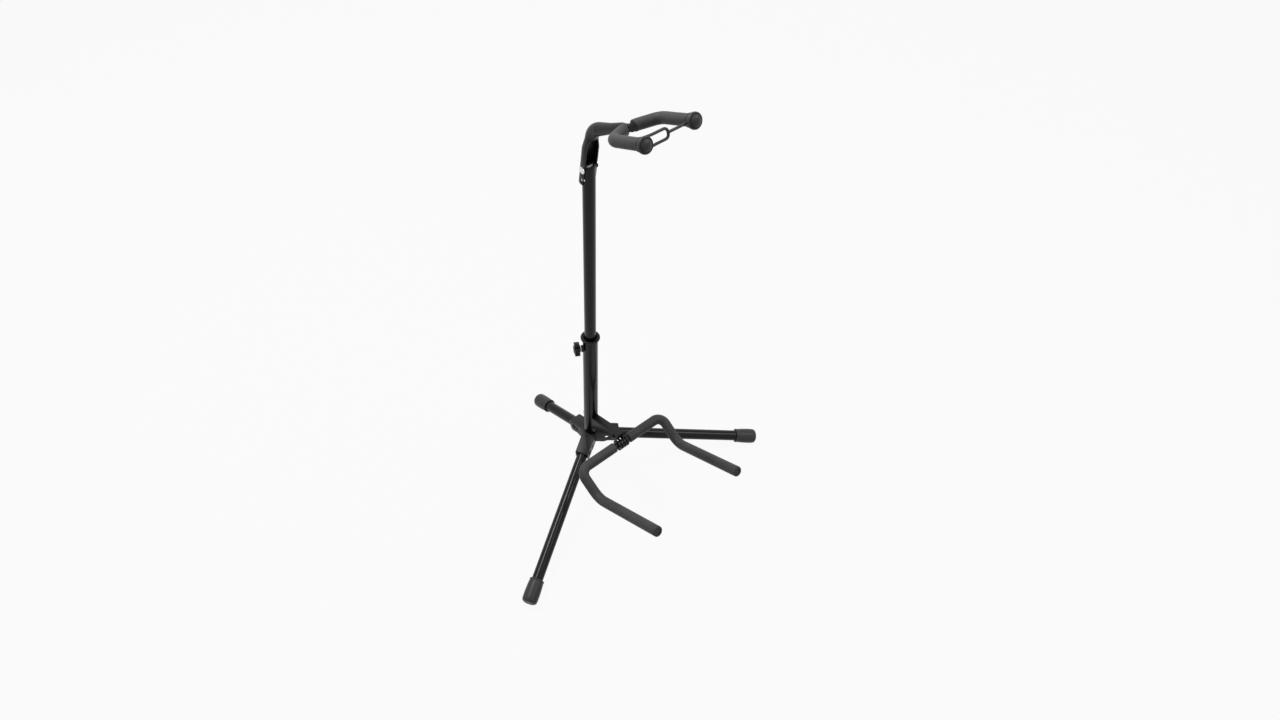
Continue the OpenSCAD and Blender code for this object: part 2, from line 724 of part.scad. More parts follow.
module yoke_arm() {
    slope = arm_angle + hood_lean;
    arm_dir = [0, -cos(slope), sin(slope)];
    elbow = [0, 0, elbow_s];
    back = [0, yoke_rise * sin(hood_lean) - yoke_reach * cos(hood_lean),
        yoke_rise * cos(hood_lean) + yoke_reach * sin(hood_lean)];
    arm_len = norm(back - elbow) - elbow_back + arm_end_d / 2 + 0.5;
    tube_r = elbow_d / 2;
    color(black_steel) on_column() difference() {
        on_hood() difference() {
            union() {
                rotate_extrude() polygon([[0, -hood_skirt], [hood_r, -hood_skirt], [hood_r, shoulder_s],
                    [tube_r, hood_top_s - 1], [tube_r, hood_top_s + bend_lap], [0, hood_top_s + bend_lap]]);
                bend([0, 0, -hood_skirt], elbow, back, elbow_r, tube_r - bend_thin);
                aim(elbow + arm_dir * elbow_back, arm_dir, [1, 0, 0]) rotate_extrude()
                    polygon([[0, -bend_lap], [tube_r, -bend_lap], [tube_r, 2], [arm_r, 30], [arm_r, arm_len - 22],
                        [arm_end_d / 2, arm_len - 12], [arm_end_d / 2, arm_len], [0, arm_len]]);
            }
            rotate_extrude() polygon([[0, -hood_skirt - 1], [hood_bore_r, -hood_skirt - 1], [hood_bore_r, shoulder_s],
                [tube_r - hood_wall, hood_top_s - 1], [tube_r - 2 * hood_wall, hood_top_s + 2], [0, hood_top_s + 2]]);
            translate([-hood_d, 0, 0]) rotate([90, 0, 90]) linear_extrude(2 * hood_d) hood_front_cut();
            // corner trimmed from the skirt
            translate([-hood_d, hood_r - 4, -hood_skirt]) rotate([45, 0, 0]) translate([0, 0, -hood_d])
                cube([2 * hood_d, hood_d, hood_d]);
        }
        translate([-hood_d, 0, yoke_pivot_z]) rotate([0, 90, 0]) cylinder(r = rivet_r + run_gap, h = 2 * hood_d);
        translate([-hood_d, 0, yoke_pivot_z - button_drop]) rotate([0, 90, 0])
            cylinder(r = button_r + 0.4, h = hood_d);
        bar([-hood_d, -yoke_reach, yoke_back_z], [hood_d, -yoke_reach, yoke_back_z], yoke_rod_r);
    }
}

module yoke_rivet() {
    color(bright_steel) on_column() translate([0, 0, yoke_pivot_z]) rotate([0, 0, 90])
        rivet(2 * hood_r + 2 * run_gap);
}

// Sprung button that drops into the hood's window, and the leaf that carries it inside the pole
leaf_t = 0.8;
leaf_w = 6;
leaf_len = 24;
leaf_x = -pole_r + pole_wall + 1.8;

module lock_button() {
    color(bright_steel) on_column() translate([0, 0, yoke_pivot_z - button_drop]) intersection() {
        translate([-pole_d, 0, 0]) rotate([0, 90, 0]) cylinder(r = button_r, h = pole_d + leaf_x);
        cylinder(r = pole_r, h = 4 * button_r, center = true);
    }
}

module lock_spring() {
    button_z = yoke_pivot_z - button_drop;
    bow_r = 4.9;
    color(bright_steel) on_column() translate([leaf_x, leaf_w / 2, button_z]) rotate([90, 0, 0])
        linear_extrude(leaf_w) {
            translate([0, -leaf_len]) square([leaf_t, leaf_len + button_r]);
            translate([2 * bow_r - leaf_t, -leaf_len]) square([leaf_t, leaf_len - 6]);
            translate([bow_r, -leaf_len]) intersection() {
                difference() {
                    circle(r = bow_r);
                    circle(r = bow_r - leaf_t);
                }
                translate([-bow_r, -bow_r]) square([2 * bow_r, bow_r]);
            }
        }
}

module yoke_rod() {
    end = yoke_len - head_len / 2;
    path = [yoke_point(-yoke_half_w, end), yoke_point(-yoke_half_w, yoke_corner_out), yoke_point(-yoke_kink_x, 0),
        yoke_point(yoke_kink_x, 0), yoke_point(yoke_half_w, yoke_corner_out), yoke_point(yoke_half_w, end)];
    color(black_steel) on_column() bent_bar(path, [yoke_bend_r, yoke_kink_r, yoke_kink_r, yoke_bend_r], yoke_rod_r);
}

module yoke_foam() {
    bends = [yoke_kink_r, yoke_bend_r];
    corner = yoke_point(yoke_half_w, yoke_corner_out);
    kink = yoke_point(yoke_kink_x, 0);
    color(foam_grey) on_column() difference() {
        bent_bar([yoke_point(yoke_foam_start, 0), kink, corner, yoke_point(yoke_half_w, cap_start)], bends, yoke_foam_r);
        bent_bar([yoke_point(0, 0), kink, corner, yoke_point(yoke_half_w, yoke_len)], bends, yoke_rod_r + sleeve_gap);
    }
}

module yoke_foam_right() {
    yoke_foam();
}

module yoke_foam_left() {
    mirror([1, 0, 0]) yoke_foam();
}

// Mushroom cap: collar, neck for the strap and domed head
module yoke_cap() {
    head_r = mushroom_d / 2;
    edge = 2.5;
    neck_end = cap_collar_len + neck_len;
    dome_r = 26;
    color(rubber_grey) on_column() aim(yoke_point(yoke_half_w, cap_start), yoke_forward, [1, 0, 0]) difference() {
        union() {
            cylinder(r1 = cap_collar_r, r2 = cap_collar_r + 0.8, h = cap_collar_len);
            cylinder(r = neck_r, h = neck_end + 1);
            translate([0, 0, neck_end]) intersection() {
                rotate_extrude() {
                    square([head_r - edge, head_len]);
                    translate([0, edge]) square([head_r, head_len - 2 * edge]);
                    translate([head_r - edge, edge]) circle(r = edge);
                    translate([head_r - edge, head_len - edge]) circle(r = edge);
                }
                translate([0, 0, head_len - dome_r]) sphere(r = dome_r);
            }
        }
        translate([0, 0, -1]) cylinder(r = yoke_rod_r, h = yoke_len - head_len / 2 - cap_start + 1);
    }
}

module yoke_cap_right() {
    yoke_cap();
}

module yoke_cap_left() {
    mirror([1, 0, 0]) yoke_cap();
}

// Rubber strap across the yoke: an eye round the right neck, a band, and a loop hooked over the left neck
module neck_strap() {
    eye_r = neck_r + run_gap;
    span = 2 * yoke_half_w;
    loop_from = span * (1 - strap_loop_share);
    color(rubber_grey) on_column()
        aim(yoke_point(yoke_half_w, cap_start + cap_collar_len + side_gap), yoke_forward, [-1, 0, 0])
            linear_extrude(strap_t) difference() {
                union() {
                    circle(r = eye_r + strap_w);
                    translate([0, -strap_w * 0.7]) square([loop_from, strap_w * 1.4]);
                    translate([loop_from, 0]) circle(r = eye_r + strap_w * 0.8);
                    translate([loop_from, -eye_r - strap_w * 0.8])
                        square([span - loop_from, 2 * eye_r + strap_w * 1.6]);
                    translate([span, 0]) circle(r = eye_r + strap_w * 0.8);
                }
                circle(r = eye_r);
                translate([loop_from, 0]) circle(r = eye_r);
                translate([loop_from, -eye_r]) square([span - loop_from, 2 * eye_r]);
                translate([span, 0]) circle(r = eye_r);
            }
}

column_tube();
column_collar();
column_plug();
clamp_boss();
pole_bush();
pole_tube();
pole_guide();
clamp_screw();
clamp_knob();
leg_bracket_left();
leg_bracket_right();
leg_bracket_rear();
leg_rivets();
leg_tube_left();
leg_tube_right();
leg_tube_rear();
foot_cap_left();
foot_cap_right();
foot_cap_rear();
cradle_bracket();
bracket_bolt();
bracket_nut();
clip_pin();
cradle_clip();
cradle_rod();
cradle_foam_left();
cradle_foam_right();
cradle_plugs();
yoke_arm();
yoke_rivet();
lock_button();
lock_spring();
yoke_rod();
yoke_foam_left();
yoke_foam_right();
yoke_cap_left();
yoke_cap_right();
neck_strap();
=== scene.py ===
# %% [markdown]
# A folding guitar stand, dressed over its CAD frame. The frame gives every tube, bracket and rivet in its
# true place. This script adds the soft and moulded pieces, gives each surface its finish and sets the
# studio.

# %% Load the frame
import json
from math import acos, cos, pi, radians, sin, tan

import bpy
from mathutils import Matrix, Vector


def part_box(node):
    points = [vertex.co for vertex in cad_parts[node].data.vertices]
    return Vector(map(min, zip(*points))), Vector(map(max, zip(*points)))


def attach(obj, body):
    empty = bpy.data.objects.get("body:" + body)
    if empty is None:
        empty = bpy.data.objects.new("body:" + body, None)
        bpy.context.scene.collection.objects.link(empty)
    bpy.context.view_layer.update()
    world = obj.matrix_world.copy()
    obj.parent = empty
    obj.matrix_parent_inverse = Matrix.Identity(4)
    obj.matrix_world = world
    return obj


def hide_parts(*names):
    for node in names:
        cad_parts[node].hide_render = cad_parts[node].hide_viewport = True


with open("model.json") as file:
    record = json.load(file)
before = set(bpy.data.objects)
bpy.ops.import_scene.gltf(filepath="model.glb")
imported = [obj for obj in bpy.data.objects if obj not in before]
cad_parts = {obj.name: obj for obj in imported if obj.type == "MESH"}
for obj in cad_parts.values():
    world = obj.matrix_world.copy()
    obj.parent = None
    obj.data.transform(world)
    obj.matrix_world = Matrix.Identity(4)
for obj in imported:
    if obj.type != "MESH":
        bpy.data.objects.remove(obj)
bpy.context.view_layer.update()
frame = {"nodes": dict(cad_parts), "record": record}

MM = 0.001
nodes = frame["nodes"]
print("CAD nodes:", len(nodes))

# %% [markdown]
# The camera stands in front of the stand, to its left and well above it, as in the photograph. Its place
# and lens were worked out from the lines of the legs, the column and the yoke. Three turns give its
# direction: round the upright, down towards the stand, and a slight lean. A small shift frames the stand.

# %% Camera
yaw, pitch, roll = radians(-39.779), radians(45.3684), radians(-0.4928)
camera_place = (-0.61593, -0.72328, 1.43631)
focal_pixels = 909.89
image_pixels = 1280
sensor_width = 36

right = Vector((cos(yaw), sin(yaw), 0))
up = Vector((-sin(yaw) * sin(pitch), cos(yaw) * sin(pitch), cos(pitch)))
back = right.cross(up)
right_rolled = right * cos(roll) - up * sin(roll)
up_rolled = right * sin(roll) + up * cos(roll)

bpy.ops.object.camera_add()
camera = bpy.context.object
camera.name = "camera"
turn = Matrix((right_rolled, up_rolled, back)).transposed().to_4x4()
camera.matrix_world = Matrix.Translation(camera_place) @ turn
camera.data.lens = focal_pixels * sensor_width / image_pixels
camera.data.shift_x = 0.02705
camera.data.shift_y = -0.05
camera.data.clip_end = 100
bpy.context.scene.camera = camera
print("camera lens", round(camera.data.lens, 2))

# %% [markdown]
# The real stand is powder-coated steel with bright fastenings, gloss plastic, moulded rubber and foam. A
# finish could be an image wrapped round each piece, but nodes on object coordinates need no wrapping and
# keep their real size everywhere. One noise moves the colour and the roughness, as no real finish is even,
# and a finer one the relief.


# %% Finish helper
cloud_scale, cloud_detail = 35, 4
fine_detail = 3
dark_below, light_above = 0.3, 0.7


def finish(name, dark, light, rough, metal=0.0, grain=400.0, bump=0.1, depth=0.1, shine=0.5, sheen=0.0):
    """dark and light are colours, rough is a pair, grain is the relief's scale, depth its height in mm."""
    material = bpy.data.materials.new(name)
    material.use_nodes = True
    tree = material.node_tree
    shader = tree.nodes["Principled BSDF"]
    shader.inputs["Metallic"].default_value = metal
    shader.inputs["Specular IOR Level"].default_value = shine
    shader.inputs["Sheen Weight"].default_value = sheen
    shader.inputs["Sheen Roughness"].default_value = 0.5
    place = tree.nodes.new("ShaderNodeTexCoord")
    cloud = tree.nodes.new("ShaderNodeTexNoise")
    cloud.inputs["Scale"].default_value = cloud_scale
    cloud.inputs["Detail"].default_value = cloud_detail
    tree.links.new(place.outputs["Object"], cloud.inputs["Vector"])
    colour = tree.nodes.new("ShaderNodeValToRGB")
    colour.color_ramp.elements[0].position = dark_below
    colour.color_ramp.elements[0].color = (*dark, 1)
    colour.color_ramp.elements[1].position = light_above
    colour.color_ramp.elements[1].color = (*light, 1)
    tree.links.new(cloud.outputs["Fac"], colour.inputs["Fac"])
    tree.links.new(colour.outputs["Color"], shader.inputs["Base Color"])
    wear = tree.nodes.new("ShaderNodeMapRange")
    wear.inputs["To Min"].default_value = rough[0]
    wear.inputs["To Max"].default_value = rough[1]
    tree.links.new(cloud.outputs["Fac"], wear.inputs["Value"])
    tree.links.new(wear.outputs["Result"], shader.inputs["Roughness"])
    fine = tree.nodes.new("ShaderNodeTexNoise")
    fine.inputs["Scale"].default_value = grain
    fine.inputs["Detail"].default_value = fine_detail
    tree.links.new(place.outputs["Object"], fine.inputs["Vector"])
    relief = tree.nodes.new("ShaderNodeBump")
    relief.inputs["Strength"].default_value = bump
    relief.inputs["Distance"].default_value = depth * MM
    tree.links.new(fine.outputs["Fac"], relief.inputs["Height"])
    tree.links.new(relief.outputs["Normal"], shader.inputs["Normal"])
    print("finish:", name)
    return material


# %% [markdown]
# The tubes are steel with a smooth black powder coat, which is a baked plastic skin. A dark metal would
# mirror the studio like chrome, so this is a plain dark surface with low shine and very little relief.

# %% Powder coat
powder_coat = finish("black powder coat", (0.005, 0.005, 0.0055), (0.010, 0.010, 0.011), (0.16, 0.24),
                     grain=900, bump=0.08, depth=0.03, shine=0.19)

# %% [markdown]
# The folded brackets, the yoke's arm with its hood and the collar are coated too, and are drawn a little
# more matt. One coat for both would be simpler, but the sheet would then gleam like the tubes. So this one
# is lighter and rougher, with a finer relief.

# %% Satin coat
satin_coat = finish("satin powder coat", (0.011, 0.011, 0.0115), (0.019, 0.019, 0.020), (0.32, 0.44),
                    grain=1400, bump=0.35, depth=0.06, shine=0.2)

# %% [markdown]
# The bright fastenings are plated metal. A metal takes its looks from what it reflects, so its colour is a
# pale grey and its roughness low, and the white studio does the rest. Highlights painted on would look
# false from another side.

# %% Nickel
nickel = finish("bright nickel", (0.62, 0.62, 0.64), (0.80, 0.80, 0.82), (0.12, 0.24),
                metal=1.0, grain=600, bump=0.1, depth=0.03)

# %% [markdown]
# The spacer inside the hood is zinc. It is a metal as well, with a rougher surface. Its colour is darker
# than bare zinc as painted shade, standing for the shade in the hood's dark slot, where a bright spacer
# would stand out.

# %% Zinc, darkened as painted shade
# painted shade: these greys are darker than bare zinc, to stand for the shade inside the hood
zinc_darkened_as_painted_shade = finish("zinc darkened as painted shade", (0.16, 0.16, 0.165), (0.24, 0.24, 0.245), (0.40, 0.55),
                   metal=1.0, grain=900, bump=0.15, depth=0.04)

# %% [markdown]
# The knob and the cradle's clip are moulded black plastic. The powder coat's finish would nearly do, but a
# slightly lower roughness gives the sharper highlights of a polished mould.

# %% Gloss plastic
gloss_plastic = finish("gloss black plastic", (0.005, 0.005, 0.0055), (0.009, 0.009, 0.010), (0.14, 0.22),
                       grain=500, bump=0.1, depth=0.04, shine=0.2)

# %% [markdown]
# The feet, the caps and the strap are moulded rubber. Rubber is dark grey rather than black, so the colour
# is lighter than the coats, and the fine relief breaks up its shine.

# %% Rubber
rubber = finish("moulded rubber", (0.047, 0.047, 0.048), (0.064, 0.064, 0.065), (0.34, 0.44),
                grain=1600, bump=0.25, depth=0.06, shine=0.22)

# %% [markdown]
# The sleeves are closed-cell foam: dark grey, rough and covered in tiny pores. Modelled pores would need
# millions of faces, so a strong, fine bump stands for them, and a little sheen gives the soft light at the
# edges.

# %% Foam
foam = finish("closed-cell foam", (0.058, 0.058, 0.060), (0.083, 0.083, 0.085), (0.46, 0.60),
              grain=1500, bump=0.7, depth=0.18, shine=0.2, sheen=0.04)

# %% [markdown]
# The tubes, rivets, screws and bolts keep their CAD shapes, which are right as they are, and take the
# finish of their material slot. Only the pieces that the next cells draw anew replace a node.

# %% Finish the CAD nodes
finish_of_slot = {"black_steel": powder_coat, "bright_steel": nickel, "black_plastic": gloss_plastic,
                  "rubber": rubber, "foam": foam}
for part in frame["record"]["subparts"]:
    piece = nodes[part["node"]]
    piece.data.materials.clear()
    piece.data.materials.append(finish_of_slot[part["material_slot"]])

# %% [markdown]
# New pieces start from a ring of points, which is pulled along and turned as a tube bender would turn it. A
# curve with a round section would be quicker, but a ring can also widen and narrow on its way, as moulded
# ends do. These helpers do the pulling, the turning and the change of width, and close the mesh with its
# faces outwards.


# %% Helpers for pieces drawn as rings
def pick(piece):
    bpy.ops.object.select_all(action="DESELECT")
    piece.select_set(True)
    bpy.context.view_layer.objects.active = piece


def leave_edit_mode():
    if bpy.context.object and bpy.context.object.mode != "OBJECT":
        bpy.ops.object.mode_set(mode="OBJECT")
    bpy.ops.object.select_all(action="DESELECT")


def start_ring(name, centre, along, radius, sides=40):
    leave_edit_mode()
    facing = Vector(along).to_track_quat("Z", "Y").to_euler()
    bpy.ops.mesh.primitive_circle_add(vertices=sides, radius=radius, location=centre, rotation=facing)
    bpy.context.object.name = name
    bpy.ops.object.mode_set(mode="EDIT")
    bpy.ops.mesh.select_all(action="SELECT")


def pull(move, steps=1):
    for _ in range(steps):
        bpy.ops.mesh.extrude_region_move(TRANSFORM_OT_translate={"value": Vector(move) / steps})


def widen(by):
    bpy.ops.transform.resize(value=(by, by, by))


def turn_ring(centre, axis, angle, steps):
    # spin turns the other way round its axis than a matrix does
    bpy.ops.mesh.spin(steps=steps, angle=-angle, center=centre, axis=axis)


def close_mesh():
    """Merges doubles, fills open ends, turns the faces outwards, leaves edit mode and applies the place."""
    bpy.ops.mesh.select_all(action="SELECT")
    bpy.ops.mesh.remove_doubles(threshold=0.005 * MM)
    bpy.ops.mesh.fill_holes(sides=0)
    bpy.ops.mesh.select_all(action="SELECT")
    bpy.ops.mesh.normals_make_consistent(inside=False)
    bpy.ops.object.mode_set(mode="OBJECT")
    pick(bpy.context.object)
    bpy.ops.object.transform_apply(location=True, rotation=True, scale=True)
    return bpy.context.object


# %% [markdown]
# A finished piece takes its material, rides on a body and stands for a CAD node. The stand is the same on
# both sides, so a piece of the right side is copied, and the copy is mirrored across the middle.


# %% Helpers that finish a piece or copy it
def fit(piece, material, body, node):
    piece.data.materials.clear()
    piece.data.materials.append(material)
    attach(piece, body)
    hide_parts(node)


def end_piece(material, body, node, smooth_below=40):
    piece = close_mesh()
    bpy.ops.object.shade_smooth_by_angle(angle=radians(smooth_below))
    fit(piece, material, body, node)
    low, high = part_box(node)
    points = [v.co for v in piece.data.vertices]
    low_off = max(abs(min(p[i] for p in points) - low[i]) for i in range(3))
    high_off = max(abs(max(p[i] for p in points) - high[i]) for i in range(3))
    print(piece.name, len(points), "points, off the CAD box by", round(max(low_off, high_off) / MM, 2), "mm")
    return piece


def own_copy(original, name):
    twin = original.copy()
    twin.data = original.data.copy()
    twin.name = name
    for key in list(twin.keys()):
        if key.startswith("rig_"):
            del twin[key]
    bpy.context.collection.objects.link(twin)
    twin.parent = None
    twin.matrix_world = Matrix.Identity(4)
    twin.hide_render = False
    twin.hide_viewport = False
    twin.hide_set(False)
    pick(twin)
    return twin


def copy_across(piece, name, material, body, node):
    twin = own_copy(piece, name)
    bpy.ops.object.mode_set(mode="EDIT")
    bpy.ops.mesh.select_all(action="SELECT")
    bpy.ops.transform.mirror(orient_type="GLOBAL", constraint_axis=(True, False, False),
                             center_override=(0, 0, 0))
    bpy.ops.mesh.normals_make_consistent(inside=False)
    bpy.ops.object.mode_set(mode="OBJECT")
    fit(twin, material, body, node)
    return twin


# %% [markdown]
# A foam sleeve is a thick hose pushed over a bent rod, so it keeps its width round the bends and ends in
# soft round edges with the bore showing. A cloth simulation would make it sag and crease, which closed-cell
# foam doesn't do, so each is pulled from a ring: out of the bore, over the edge, along the runs and round
# the bends, and back in.


# %% Sleeve helpers
bore_depth = 6
edge_steps = (0, 0.25, 0.6, 0.9)
edge_insets = (1.6, 0.7, 0.15, 0)
run_step = 0.008


def bend_of(before, corner, after, radius):
    u = (corner - before).normalized()
    v = (after - corner).normalized()
    angle = acos(max(-1, min(1, u.dot(v))))
    back_off = radius * tan(angle / 2)
    inward = (v - u * u.dot(v)).normalized()
    centre = corner - u * back_off + inward * radius
    return u, v, angle, back_off, centre, u.cross(v).normalized()


def over_edge(u, steps, widths):
    for step, before, after in zip(steps, widths, widths[1:]):
        pull(u * step * MM)
        widen(after / before)


def pull_run(move):
    pull(move, max(1, int(move.length / run_step)))


def sleeve(name, points, bends, radius, bore, body, node):
    u = (points[1] - points[0]).normalized()
    widths = [bore] + [radius - inset * MM for inset in edge_insets]
    start_ring(name, points[0] + u * bore_depth * MM, u, bore)
    pull(-u * bore_depth * MM)
    over_edge(u, edge_steps, widths)
    here = points[0] + u * sum(edge_steps) * MM
    for i, bend_radius in enumerate(bends):
        u, v, angle, back_off, centre, axis = bend_of(points[i], points[i + 1], points[i + 2], bend_radius)
        pull_run(points[i + 1] - u * back_off - here)
        turn_ring(centre, axis, angle, max(6, int(angle / radians(5))))
        here = points[i + 1] + v * back_off
        u = v
    pull_run(points[-1] - u * sum(edge_steps) * MM - here)
    over_edge(u, edge_steps[::-1], widths[::-1])
    pull(-u * bore_depth * MM)
    piece = end_piece(foam, body, node)
    return piece


def both_sleeves(stem, points, bends, radius, bore, body, node_stem):
    piece = sleeve(stem + "_right", points, bends, radius, bore, body, node_stem + "_right")
    twin = copy_across(piece, stem + "_left", foam, body, node_stem + "_left")


# %% [markdown]
# The lower cradle is one rod bent into two arms that carry the guitar's body. Each arm runs sideways from
# the clip, bends forward and down, and then rises to its tip. Its sleeve follows the same corners.

# %% Foam sleeves of the cradle
column_y = 0.054
rod_y, rod_z = -84.5, 136.5
cradle_start, cradle_half = 15, 91
cradle_fall, cradle_rise = 56.5, 158
cradle_bends = [16 * MM, 28 * MM]
cradle_foam_radius, cradle_bore = 8.75 * MM, 5.1 * MM
drop, run, toe = radians(28.5), radians(28.5), radians(1.4)


def at(x, y, z):
    """A place in millimetres, counted from the point of the floor under the column."""
    return Vector((x * MM, y * MM + column_y, z * MM))


down_arm = Vector((-sin(toe) * cos(drop), -cos(toe) * cos(drop), -sin(drop)))
up_arm = Vector((-sin(toe) * cos(run), -cos(toe) * cos(run), sin(run)))
cradle_corner = at(cradle_half, rod_y, rod_z)
cradle_low = cradle_corner + cradle_fall * MM * down_arm
cradle_tip = cradle_low + cradle_rise * MM * up_arm
both_sleeves("cradle_sleeve", [at(cradle_start, rod_y, rod_z), cradle_corner, cradle_low, cradle_tip],
             cradle_bends, cradle_foam_radius, cradle_bore, "cradle", "cradle_foam")

# %% [markdown]
# The yoke at the top is a smaller rod that holds the guitar's neck. It leaves the arm sideways, turns in
# two bends and then runs forward and up at one slope, so its sleeves are drawn in that sloping plane.

# %% Foam sleeves of the yoke
tilt = radians(24)
yoke_y, yoke_z = -81, 788.5
yoke_start, yoke_kink, yoke_half = 6.4, 11, 38.7
corner_forward, sleeve_end = 15, 67.4
yoke_bends = [14 * MM, 16 * MM]
yoke_foam_radius, yoke_bore = 8 * MM, 4.1 * MM


def on_yoke(x, forward):
    return at(x, yoke_y - forward * cos(tilt), yoke_z + forward * sin(tilt))


both_sleeves("yoke_sleeve", [on_yoke(yoke_start, 0), on_yoke(yoke_kink, 0),
                             on_yoke(yoke_half, corner_forward), on_yoke(yoke_half, sleeve_end)],
             yoke_bends, yoke_foam_radius, yoke_bore, "yoke", "yoke_foam")

# %% [markdown]
# The yoke's ends wear moulded rubber caps: a collar against the foam, a neck for the strap, and a broad
# head with a rolled rim and a shallow dome. A lathe shape like this could be spun from an outline. Here a
# ring is pulled and widened step by step along one line instead, so that the same helper serves the feet,
# which slope.


# %% Mushroom caps
def turned(name, start, along, profile, sides=48):
    """profile is a list of (distance along, radius) in millimetres, from the first ring to the last."""
    u = Vector(along).normalized()
    first_along, first_radius = profile[0]
    start_ring(name, start + u * first_along * MM, u, first_radius * MM, sides)
    for (d0, r0), (d1, r1) in zip(profile, profile[1:]):
        pull(u * (d1 - d0) * MM)
        widen(r1 / r0)


neck_radius = 5.6
collar_profile = [(6, 4.1), (0, 4.1), (0, 7.9), (0.25, 8.4), (0.9, 8.75), (2.2, 8.95), (3.3, 9.15),
                  (3.8, 9.0), (4.0, 8.6), (4.05, 6.2)]
neck_profile = [(4.15, neck_radius), (7.45, neck_radius), (7.55, 6.3)]
rim_profile = [(7.6, 8.9), (7.75, 9.6), (8.3, 10.3), (9.2, 10.65), (10.2, 10.75), (11.4, 10.75),
               (12.3, 10.6), (13.0, 10.2), (13.35, 9.7), (13.4, 9.3), (13.2, 8.95), (12.6, 8.75)]
dome_profile = [(12.5, 8.55), (12.8, 8.35), (13.7, 7.9), (14.6, 6.9), (15.5, 5.4), (16.1, 3.6),
                (16.45, 1.8), (16.58, 0.5)]
forward = Vector((0, -cos(tilt), sin(tilt)))
turned("yoke_cap_piece_right", on_yoke(yoke_half, sleeve_end), forward,
       collar_profile + neck_profile + rim_profile + dome_profile)
bpy.ops.mesh.edge_face_add()
cap_piece = end_piece(rubber, "yoke", "yoke_cap_right", smooth_below=50)
copy_across(cap_piece, "yoke_cap_piece_left", rubber, "yoke", "yoke_cap_left")

# %% [markdown]
# Each leg ends in a rubber boot: a beaded mouth, a shallow groove, a barrel that swells and then closes in
# a round shoulder, and an end face inside a small rim. It is turned along the leg, which slopes. Rubber
# flattens where it stands on the floor, which could be sculpted, but a bisect cuts it exactly level.

# %% Foot caps
hub_z = 80
boot_cover = 40
mouth_profile = [(34, 9.5), (0.3, 9.55), (0, 9.9), (0, 11.5), (0.25, 12.2), (0.8, 12.65), (1.5, 12.75),
                 (2.2, 12.55), (2.7, 12.2), (3.1, 12.05), (3.6, 12.15), (4.2, 12.3)]
barrel_profile = [(7, 12.55), (11, 12.85), (15, 13.05), (19, 13.22), (23, 13.3), (27, 13.3),
                  (31, 13.22), (34, 13.1), (35.5, 12.95)]
shoulder_profile = [(37, 12.4), (38.3, 11.4), (39.2, 10.2), (39.8, 8.9), (39.95, 8.2), (39.8, 7.7),
                    (39.4, 7.4), (39.35, 4.0), (39.35, 0.5)]


def foot_boot(side, angle, slope, length):
    a, b = radians(angle), radians(slope)
    along = Vector((sin(a) * cos(b), -cos(a) * cos(b), -sin(b)))
    mouth = at(0, 0, hub_z) + along * (length - boot_cover) * MM
    turned("foot_boot_" + side, mouth, along, mouth_profile + barrel_profile + shoulder_profile, sides=64)
    bpy.ops.mesh.edge_face_add()
    bpy.ops.mesh.select_all(action="SELECT")
    bpy.ops.mesh.bisect(plane_co=(0, 0, 0), plane_no=(0, 0, 1), clear_inner=True, use_fill=True)
    end_piece(rubber, "leg_" + side, "foot_cap_" + side, smooth_below=40)


front_angle, front_slope, front_length = 58, 12.3209, 321.5
rear_angle, rear_slope, rear_length = 180, 22.8599, 180
foot_boot("left", -front_angle, front_slope, front_length)
foot_boot("right", front_angle, front_slope, front_length)
foot_boot("rear", rear_angle, rear_slope, rear_length)

# %% [markdown]
# Bent sheet and moulded plastic never end in a knife edge. The brackets, the yoke's arm, the collar and the
# knob keep their CAD shapes and sizes, but a copy of each gets its sharp edges rounded by a small bevel, so
# that they catch light. The CAD nodes themselves get no bevel, because their meshes are never changed.


# %% Soft edges on metal and plastic
def copy_of_node(node, name):
    """The node's loose triangles are merged in the copy, and flat faces are joined."""
    twin = own_copy(nodes[node], name)
    bpy.ops.object.mode_set(mode="EDIT")
    bpy.ops.mesh.select_all(action="SELECT")
    bpy.ops.mesh.remove_doubles(threshold=0.01 * MM)
    bpy.ops.mesh.dissolve_limited(angle_limit=radians(1.5))
    bpy.ops.mesh.select_all(action="SELECT")
    bpy.ops.mesh.normals_make_consistent(inside=False)
    bpy.ops.object.mode_set(mode="OBJECT")
    return twin


def ease_and_fit(twin, node, width, segments, material, body, sharp=40):
    pick(twin)
    bevel = twin.modifiers.new("eased edges", "BEVEL")
    bevel.width = width * MM
    bevel.segments = segments
    bevel.limit_method = "ANGLE"
    bevel.angle_limit = radians(sharp)
    bevel.use_clamp_overlap = True
    bpy.ops.object.modifier_apply(modifier=bevel.name)
    bpy.ops.object.shade_smooth_by_angle(angle=radians(45))
    fit(twin, material, body, node)
    print(twin.name, len(twin.data.polygons), "faces")


def ease_edges(node, width, segments, material, body):
    ease_and_fit(copy_of_node(node, node + "_eased"), node, width, segments, material, body)


for side in ("left", "right", "rear"):
    ease_edges("leg_bracket_" + side, 0.5, 3, satin_coat, "stand")
ease_edges("cradle_bracket", 0.5, 3, satin_coat, "stand")
ease_edges("column_collar", 1.0, 4, satin_coat, "stand")
ease_edges("yoke_arm", 0.4, 3, satin_coat, "yoke")
ease_edges("clamp_knob", 0.8, 4, gloss_plastic, "knob")
